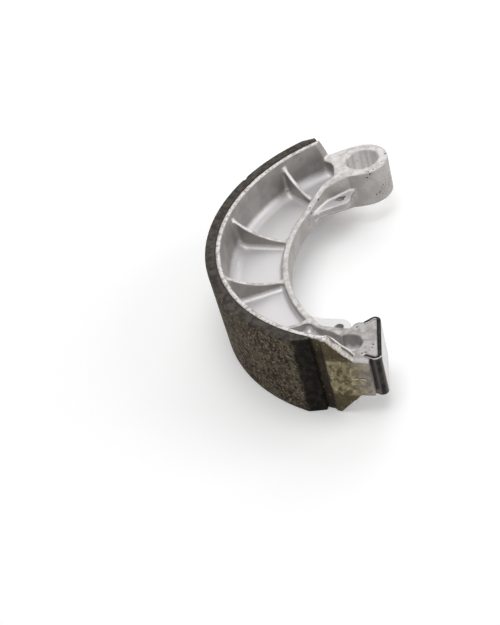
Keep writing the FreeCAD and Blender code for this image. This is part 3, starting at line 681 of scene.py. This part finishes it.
cloud = add_node(tree, "TexNoise", [place, 1 / CLOUD_SIZE, 5.0])
clouded = add_node(tree, "MapRange", [cloud, 0.35, 0.62], **SMOOTH_STEP)
olive = add_node(tree, "Mix", [clouded, "#574c33", "#93886a"], **COLOURS)
flakes = add_node(tree, "TexNoise", [place, 1 / FLAKE_SIZE, 4.0])
flakes = add_node(tree, "MapRange", [flakes, 0.54, 0.66, 0.0, 0.7], **SMOOTH_STEP)
olive = add_node(tree, "Mix", [flakes, olive, "#b3a98b"], **COLOURS)
dried = add_node(tree, "Mix", [clouded, "#79726a", "#a19a93"], **COLOURS)
wander = add_node(tree, "Math", [cloud, STAIN_WANDER], operation="MULTIPLY")
drift = add_node(tree, "Math", [angle, wander], operation="ADD")
stained = add_node(tree, "MapRange", [drift, *STAIN_FADE], **SMOOTH_STEP)
face_tone = add_node(tree, "Mix", [stained, dried, olive], **COLOURS)

# Painted shade on the face where it rises above the arm's front
wander = add_node(tree, "Math", [cloud, SHADE_WANDER], operation="MULTIPLY")
ragged = add_node(tree, "Math", [level, wander], operation="ADD")
beside = add_node(tree, "MapRange", [ragged, *SHADED_SIDE, 0.0, 0.85], **SMOOTH_STEP)
beside = add_node(tree, "Math", [beside, stained], operation="MULTIPLY")
face_tone = add_node(tree, "Mix", [beside, face_tone, "#453b25"], **COLOURS)
# Painted shadow: a dark brown strip right against the lining
strip = add_node(tree, "MapRange", [angle, *SHADOW_STRIP, 0.0, 0.95], **SMOOTH_STEP)
below = add_node(tree, "MapRange", [z, *SHADOW_STRIP_FADE], **SMOOTH_STEP)
lining_shadow = add_node(tree, "Math", [strip, below], operation="MULTIPLY")
face_tone = add_node(tree, "Mix", [lining_shadow, face_tone, "#241b0f"], **COLOURS)
chips = add_node(tree, "TexNoise", [place, 1 / CHIP_SIZE, 2.0])
chips = add_node(tree, "MapRange", [chips, 0.66, 0.74], **SMOOTH_STEP)
face_tone = add_node(tree, "Mix", [chips, face_tone, "#b0a68a"], **COLOURS)
print("With the stain:", len(tree.nodes), "nodes")

# %% [markdown]
# One long scratch
#
# A scratch runs across the bare end of the arm, with a dark burr along its side. It could be cut into
# the mesh, but it is only as wide as two of its cells. It lies level, so it is drawn by how far a
# point is from one height, and it fades at both ends.

# %% Scratch
# Where along x the scratch starts and ends, each as the stretch in which it fades
SCRATCH_START = (-6.6 * MM, -6.0 * MM)
SCRATCH_END = (-0.6 * MM, -1.2 * MM)
# Height, half width and colour of the scratch and of its burr
SCRATCH_LINES = [
    (0.05 * MM, 0.35 * MM, "#c9bfa3"),
    (0.6 * MM, 0.3 * MM, "#4f4935"),
]
CRUST_SIZE = 0.9 * MM

crust = add_node(tree, "TexNoise", [place, 1 / CRUST_SIZE, 3.0])
broken = add_node(tree, "MapRange", [crust, 0.35, 0.5], **SMOOTH_STEP)
start = add_node(tree, "MapRange", [x, *SCRATCH_START], **SMOOTH_STEP)
end = add_node(tree, "MapRange", [x, *SCRATCH_END], **SMOOTH_STEP)
stretch = add_node(tree, "Math", [start, end], operation="MULTIPLY")
stretch = add_node(tree, "Math", [stretch, broken], operation="MULTIPLY")
for height, half_width, tone in SCRATCH_LINES:
    gap = add_node(tree, "Math", [z, height], operation="SUBTRACT")
    gap = add_node(tree, "Math", [gap], operation="ABSOLUTE")
    line = add_node(tree, "MapRange", [gap, half_width, half_width * 0.4], **SMOOTH_STEP)
    line = add_node(tree, "Math", [line, stretch], operation="MULTIPLY")
    face_tone = add_node(tree, "Mix", [line, face_tone, tone], **COLOURS)
colour = add_node(tree, "Mix", [arm_face, colour, face_tone], **COLOURS)
print("With the scratch:", len(tree.nodes), "nodes")

# %% [markdown]
# The hacked edge
#
# The slanted edge of the arm's wall was hacked off, which left light, torn metal with a dark gouge
# along its middle, and its side towards the pocket carries a painted highlight. A second material
# would need its faces picked, and the rebuilt skin's faces have no lasting numbers. So a product of
# smooth steps marks the place: a slope, near the arm's end, high over mid width and at the wall's
# radius. The gouge is drawn by how far a point is from one radius.

# %% Hacked edge
# Where the slope begins along y, in height over mid width and in radius
HACKED_Y = (-112.0 * MM, -114.0 * MM)
HACKED_LEVEL = (9.4 * MM, 10.2 * MM)
HACKED_RADIUS = (71.0 * MM, 71.6 * MM)
# The painted highlight on the pocket's side of the gouge, where the fillet inside catches light
LIT_FILLET_BAND = (73.2 * MM, 72.4 * MM)
GOUGE_RADIUS = 73.6 * MM
# Distances from the gouge's middle at which it starts to show and is darkest
GOUGE_EDGE = (1.0 * MM, 0.3 * MM)

slanted = add_node(tree, "MapRange", [flat, 0.2, 0.4], **SMOOTH_STEP)
for value, low, high in [
    (flat, 0.95, 0.85),
    (y, *HACKED_Y),
    (level, *HACKED_LEVEL),
    (radius, *HACKED_RADIUS),
]:
    within = add_node(tree, "MapRange", [value, low, high], **SMOOTH_STEP)
    slanted = add_node(tree, "Math", [slanted, within], operation="MULTIPLY")
torn = add_node(tree, "MapRange", [crust, 0.35, 0.65], **SMOOTH_STEP)
hacked = add_node(tree, "Mix", [torn, "#a9a39d", "#d3cec9"], **COLOURS)
# Painted highlight, as of a lit fillet, on the pocket's side of the slope
fillet_highlight = add_node(tree, "MapRange", [radius, *LIT_FILLET_BAND], **SMOOTH_STEP)
hacked = add_node(tree, "Mix", [fillet_highlight, hacked, "#f2f0ed"], **COLOURS)
gap = add_node(tree, "Math", [radius, GOUGE_RADIUS], operation="SUBTRACT")
gap = add_node(tree, "Math", [gap], operation="ABSOLUTE")
gouge = add_node(tree, "MapRange", [gap, *GOUGE_EDGE, 0.0, 0.85], **SMOOTH_STEP)
broken = add_node(tree, "MapRange", [cloud, 0.38, 0.5], **SMOOTH_STEP)
gouge = add_node(tree, "Math", [gouge, broken], operation="MULTIPLY")
hacked = add_node(tree, "Mix", [gouge, hacked, "#544e48"], **COLOURS)
colour = add_node(tree, "Mix", [slanted, colour, hacked], **COLOURS)
print("With the hacked edge:", len(tree.nodes), "nodes")

# %% [markdown]
# How the casting takes the light
#
# Cast aluminium is a metal, but its fine grain scatters light so widely that it looks nearly matt. So
# it is left slightly less than fully metallic, with a middling roughness that varies from blotch to
# blotch. The grain and the pits are too fine for the mesh and become a bump.

# %% Finish of the casting
# The real grain is finer and is drawn this coarse so that it shows
SKIN_GRAIN = 0.4 * MM
SKIN_RELIEF = 0.08 * MM

grain = add_node(tree, "TexNoise", [place, 1 / SKIN_GRAIN, 2.0])
grain = add_node(tree, "Math", [grain, 0.5], operation="MULTIPLY")
relief = add_node(tree, "Math", [grain, holes], operation="SUBTRACT")
bump = add_node(tree, "Bump", {"Height": relief, "Distance": SKIN_RELIEF, "Strength": 0.6})
surface = add_node(tree, "BsdfPrincipled", {
    "Base Color": colour,
    "Metallic": 0.8,
    "Roughness": add_node(tree, "MapRange", {"Value": blotches, "To Min": 0.5, "To Max": 0.6}),
    "Normal": bump,
})
add_node(tree, "OutputMaterial", {"Surface": surface})
dress(casting, aluminium)

# %% [markdown]
# Moulded friction composite
#
# Resin holds short fibres, metal chips and mineral dust. The ground back shows all of them: a dark
# brown ground with blacker pores, lighter clumps and dust, and pale strands a few millimetres long.
# One noise with many octaves would mix all sizes evenly. Here each is a noise with its own size, laid
# over the last, and a Mapping node stretches the one for the strands.

# %% Ground face of the lining
BATCH_SIZE = 16.0 * MM
CLUMP_SIZE = 2.6 * MM
DUST_SIZE = 1.1 * MM
STRAND_WIDTH = 1.1 * MM
STRAND_STRETCH = 4
HOLE_SIZE = 1.5 * MM

composite, tree = new_material("friction_composite")
place = add_node(tree, "TexCoord", result="Object")
batches = add_node(tree, "TexNoise", [place, 1 / BATCH_SIZE, 2.0])
batches = add_node(tree, "MapRange", [batches, 0.4, 0.6], **SMOOTH_STEP)
colour = add_node(tree, "Mix", [batches, "#3b2f26", "#544d40"], **COLOURS)
clumps = add_node(tree, "TexNoise", [place, 1 / CLUMP_SIZE, 5.0])
clumped = add_node(tree, "MapRange", [clumps, 0.44, 0.62, 0.0, 0.75], **SMOOTH_STEP)
colour = add_node(tree, "Mix", [clumped, colour, "#6b6150"], **COLOURS)
dust = add_node(tree, "TexNoise", [place, 1 / DUST_SIZE, 3.0])
dusty = add_node(tree, "MapRange", [dust, 0.56, 0.66], **SMOOTH_STEP)
colour = add_node(tree, "Mix", [dusty, colour, "#877c67"], **COLOURS)
stretched = add_node(tree, "Mapping", {
    "Vector": place,
    "Rotation": (0.5, 0.4, 0.6),
    "Scale": (1, 1 / STRAND_STRETCH, 1),
})
strands = add_node(tree, "TexNoise", [stretched, 1 / STRAND_WIDTH, 1.0])
strands = add_node(tree, "MapRange", [strands, 0.66, 0.74, 0.0, 0.5], **SMOOTH_STEP)
colour = add_node(tree, "Mix", [strands, colour, "#ab9f84"], **COLOURS)
pores = add_node(tree, "TexNoise", [place, 1 / HOLE_SIZE, 4.0])
pores = add_node(tree, "MapRange", [pores, 0.54, 0.62], **SMOOTH_STEP)
darkened = add_node(tree, "Math", [pores, 0.85], operation="MULTIPLY")
colour = add_node(tree, "Mix", [darkened, colour, "#120e0b"], **COLOURS)
print("Ground face:", len(tree.nodes), "nodes")

# %% [markdown]
# Shaded leads and pressed sides
#
# The ground leads are painted nearly black, as painted shade, with a border that wanders. The mesh
# carries the share of the lead at each point, and a noise is added to it before the smooth step. The
# side faces kept the mould's smooth grey skin. The porous surface swallows most of the gloss, so the
# specular level is low. Pores and dust are a bump as well as a colour.

# %% Finish of the lining
PRESSED_SIDE = (LINING_HALF_WIDTH - 0.35 * MM, LINING_HALF_WIDTH - 0.15 * MM)
BORDER_WANDER_SIZE = 5.0 * MM
LINING_RELIEF = 0.15 * MM

lead = add_node(tree, "Attribute", result="Fac", attribute_name="lead")
wander = add_node(tree, "TexNoise", [place, 1 / BORDER_WANDER_SIZE, 4.0])
wander = add_node(tree, "Math", [lead, wander], operation="ADD")
# Painted shade on the ground leads, nearly black
lead_shade = add_node(tree, "MapRange", [wander, 0.78, 1.25, 0.0, 0.95], **SMOOTH_STEP)
mottled_shade = add_node(tree, "MapRange", [clumps, 0.4, 0.62], **SMOOTH_STEP)
lead_shade_colour = add_node(tree, "Mix", [mottled_shade, "#030202", "#211c16"], **COLOURS)
colour = add_node(tree, "Mix", [lead_shade, colour, lead_shade_colour], **COLOURS)
pressed = add_node(tree, "MapRange", [clumps, 0.35, 0.65], **SMOOTH_STEP)
side_tone = add_node(tree, "Mix", [pressed, "#3b3733", "#57514b"], **COLOURS)
height = add_node(tree, "SeparateXYZ", [place], result="Z")
level = add_node(tree, "Math", [height], operation="ABSOLUTE")
on_side = add_node(tree, "MapRange", [level, *PRESSED_SIDE], **SMOOTH_STEP)
colour = add_node(tree, "Mix", [on_side, colour, side_tone], **COLOURS)

relief = add_node(tree, "Math", [dust, pores], operation="SUBTRACT")
bump = add_node(tree, "Bump", {"Height": relief, "Distance": LINING_RELIEF, "Strength": 0.7})
surface = add_node(tree, "BsdfPrincipled", {
    "Base Color": colour,
    "Roughness": 0.85,
    "Specular IOR Level": 0.2,
    "Normal": bump,
})
add_node(tree, "OutputMaterial", {"Surface": surface})
dress(lining, composite)

# %% [markdown]
# Cured adhesive
#
# The film between rim and lining has squeezed out to a thin dark line, slightly glossy where it ran
# and dull where dust stuck to it. One noise drives its colour and its roughness together, because
# both come from the dust. The CAD node itself wears it: the film is too thin to need a finer mesh.

# %% Adhesive
FILM_DUST_SIZE = 1.5 * MM

adhesive, tree = new_material("cured_adhesive")
place = add_node(tree, "TexCoord", result="Object")
dust = add_node(tree, "TexNoise", [place, 1 / FILM_DUST_SIZE, 3.0])
dusty = add_node(tree, "MapRange", [dust, 0.4, 0.6], **SMOOTH_STEP)
surface = add_node(tree, "BsdfPrincipled", {
    "Base Color": add_node(tree, "Mix", [dusty, "#2a241e", "#453c33"], **COLOURS),
    "Roughness": add_node(tree, "MapRange", {"Value": dust, "To Min": 0.35, "To Max": 0.7}),
})
add_node(tree, "OutputMaterial", {"Surface": surface})
dress(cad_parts["lining_bond"], adhesive)

# %% [markdown]
# Blued spring steel
#
# Hardened strip leaves the furnace with a thin blue-black oxide. Handling wore it off where it stands
# proud: the working face is rubbed bright, with fine scratches along the strip and a few spots of
# rust, and the front edge is lighter below. The outside of the fold carries a painted sheen at both
# its ends. Each of these places looks in its own direction, so the normal tells them apart without any
# second material.

# %% Blued steel
OXIDE_SIZE = 3.0 * MM
RUST_SIZE = 1.4 * MM
# Real scratches are finer and are drawn this coarse so that they show
SCRATCH_WIDTH = 0.3 * MM
SCRATCH_STRETCH = 12.5

steel, tree = new_material("blued_steel")
place = add_node(tree, "TexCoord", result="Object")
facing = add_node(tree, "TexCoord", result="Normal")
face_x, face_y, face_z = [add_node(tree, "SeparateXYZ", [facing], result=axis) for axis in "XYZ"]

oxide = add_node(tree, "TexNoise", [place, 1 / OXIDE_SIZE, 3.0])
oxide = add_node(tree, "MapRange", [oxide, 0.35, 0.65], **SMOOTH_STEP)
oxide = add_node(tree, "Mix", [oxide, "#262422", "#393633"], **COLOURS)
# A painted sheen lightens the outside of the fold at both its ends
fold_sheen_start = add_node(tree, "MapRange", [face_x, 0.5, 0.9], **SMOOTH_STEP)
oxide = add_node(tree, "Mix", [fold_sheen_start, oxide, "#5a5755"], **COLOURS)
fold_sheen_end = add_node(tree, "MapRange", [face_x, 0.1, -0.3], **SMOOTH_STEP)
beside = add_node(tree, "MapRange", [face_z, 0.5, 0.2], **SMOOTH_STEP)
fold_sheen_end = add_node(tree, "Math", [beside, fold_sheen_end], operation="MULTIPLY")
oxide = add_node(tree, "Mix", [fold_sheen_end, oxide, "#5c5957"], **COLOURS)
# The front edge is drawn lighter below
front = add_node(tree, "MapRange", [face_z, 0.15, 0.4], **SMOOTH_STEP)
below = add_node(tree, "MapRange", [face_y, -0.15, -0.4], **SMOOTH_STEP)
front = add_node(tree, "Math", [front, below], operation="MULTIPLY")
oxide = add_node(tree, "Mix", [front, oxide, "#dad7d5"], **COLOURS)

# The bare working face
squeezed = add_node(tree, "Mapping", {"Vector": place, "Scale": (1, 1, 1 / SCRATCH_STRETCH)})
scratches = add_node(tree, "TexNoise", [squeezed, 1 / SCRATCH_WIDTH, 3.0])
scratched = add_node(tree, "MapRange", [scratches, 0.3, 0.7], **SMOOTH_STEP)
bare = add_node(tree, "Mix", [scratched, "#c0bdbb", "#e3e1e0"], **COLOURS)
rust = add_node(tree, "TexNoise", [place, 1 / RUST_SIZE, 3.0])
rust = add_node(tree, "MapRange", [rust, 0.67, 0.72, 0.0, 0.7], **SMOOTH_STEP)
bare = add_node(tree, "Mix", [rust, bare, "#7d5a52"], **COLOURS)
rubbed = add_node(tree, "MapRange", [face_x, 0.9, 0.99], **SMOOTH_STEP)
surface = add_node(tree, "BsdfPrincipled", {
    "Base Color": add_node(tree, "Mix", [rubbed, oxide, bare], **COLOURS),
    "Metallic": 1.0,
    "Roughness": add_node(tree, "MapRange", {"Value": scratches, "To Min": 0.35, "To Max": 0.5}),
})
add_node(tree, "OutputMaterial", {"Surface": surface})
dress(cap, steel)

# %% [markdown]
# The table
#
# The shoe lies on the edge of its lining, on a plain white table. White paper only comes out as white
# as the lamps make it, and stronger lamps would burn out the casting. So the camera, and any glossy
# or clear surface, also sees the paper shine a little by itself, while it still takes the shadow.

# %% Stage
FLOOR_HALF = 8.0
# What the paper shines by itself
GLOW = 0.16
# Paper fibres are finer and are drawn this coarse so that they show
FIBRE_SIZE = 0.4 * MM

floor_mesh = bpy.data.meshes.new("table_top")
corners = FLOOR_HALF * np.array([(-1, -1), (1, -1), (1, 1), (-1, 1)])
corners = np.column_stack([corners, np.full(len(corners), FLOOR_LEVEL)])
floor_mesh.from_pydata(corners.tolist(), [], [(0, 1, 2, 3)])
table_top = bpy.data.objects.new("table_top", floor_mesh)
bpy.context.scene.collection.objects.link(table_top)

paper, tree = new_material("white_paper")
place = add_node(tree, "TexCoord", result="Object")
fibres = add_node(tree, "TexNoise", [place, 1 / FIBRE_SIZE, 2.0])
paper_colour = add_node(tree, "Mix", [fibres, "#f6f6f6", "#fbfbfb"], **COLOURS)
surface = add_node(tree, "BsdfPrincipled", {"Base Color": paper_colour, "Roughness": 0.9})
seen = add_node(tree, "LightPath", result="Is Camera Ray")
for ray in ("Is Glossy Ray", "Is Transmission Ray"):
    seen = add_node(tree, "Math", [seen, add_node(tree, "LightPath", result=ray)], operation="MAXIMUM")
glow = add_node(tree, "Math", [seen, GLOW], operation="MULTIPLY")
glow = add_node(tree, "Emission", {"Strength": glow})
add_node(tree, "OutputMaterial", {"Surface": add_node(tree, "AddShader", [surface, glow])})
dress(table_top, paper)

# %% [markdown]
# Light
#
# Three large softboxes, above, behind and to the right, give the long soft highlights of a studio,
# and an even sky fills the rest. A picture of a studio as the sky would give finer reflections, but
# nothing on the shoe is shiny enough to show them.

# %% Lamps
SKY = 0.36
# The point of the shoe at which every softbox looks
MIDDLE = (-20.0 * MM, -63.0 * MM, 0.0)
# Name, place, length of a side in metres and power in watts of each softbox
SOFTBOXES = [
    ("top_softbox", (-0.05, -0.15, 0.9), 0.7, 3.6),
    ("back_softbox", (0.05, 0.75, 0.65), 0.9, 3.2),
    ("side_softbox", (0.85, 0.0, 0.4), 0.6, 2.7),
]


def softbox(name, place, size, power):
    """A square area lamp at a place, turned to face the middle of the shoe."""
    lamp = bpy.data.lights.new(name, "AREA")
    lamp.shape = "SQUARE"
    lamp.size = size
    lamp.energy = power
    thing = bpy.data.objects.new(name, lamp)
    thing.location = place
    thing.rotation_euler = (Vector(MIDDLE) - Vector(place)).to_track_quat("-Z", "Y").to_euler()
    bpy.context.scene.collection.objects.link(thing)
    print("%s: %.2f m square, %.1f W" % (name, size, power))


for name, place, size, power in SOFTBOXES:
    softbox(name, place, size, power)

sky = bpy.data.worlds.new("even_sky")
sky.use_nodes = True
sky.node_tree.nodes["Background"].inputs["Color"].default_value = linear("#ffffff")
sky.node_tree.nodes["Background"].inputs["Strength"].default_value = SKY
bpy.context.scene.world = sky

# %% [markdown]
# The camera
#
# The photograph was matched by fitting a pinhole camera to points picked on it: it stood about half
# a metre from the shoe, looked down at 40 degrees and was rolled by 17 degrees. A Track To constraint
# would turn the camera but couldn't roll it, so its three directions are given instead: the
# picture's right, its top and the way back to the lens. The fit puts the lens's axis slightly off
# the picture's middle, which the two shifts make up for.

# %% Camera
CAMERA_PLACE = (47.53 * MM, -454.98 * MM, 312.94 * MM)
PICTURE_RIGHT = (0.971899, 0.061248, -0.227289)
PICTURE_UP = (0.130608, 0.662993, 0.737145)
BACKWARD = (0.195840, -0.746116, 0.636363)
# Focal length and sensor width in millimetres, as Blender's camera takes them
LENS = 66.18
SENSOR_WIDTH = 36
# The picture's middle as a share of its longer side, off the lens's middle
SHIFT = (-0.0063, -0.0029)
NEAREST_SEEN = 0.01

camera_data = bpy.data.cameras.new("camera")
camera_data.sensor_width = SENSOR_WIDTH
camera_data.lens = LENS
camera_data.shift_x, camera_data.shift_y = SHIFT
camera_data.clip_start = NEAREST_SEEN
camera = bpy.data.objects.new("camera", camera_data)
turn = Matrix((PICTURE_RIGHT, PICTURE_UP, BACKWARD)).transposed().to_4x4()
camera.matrix_world = Matrix.Translation(CAMERA_PLACE) @ turn
bpy.context.scene.collection.objects.link(camera)
bpy.context.scene.camera = camera
bpy.context.scene.view_settings.view_transform = "Standard"
print("Camera to the shoe's middle: %.3f m" % (Vector(CAMERA_PLACE) - Vector(MIDDLE)).length)

# %% [markdown]
# Measure and finish
#
# The last line brings the scene up to date.

# %% Finish
bpy.context.view_layer.update()
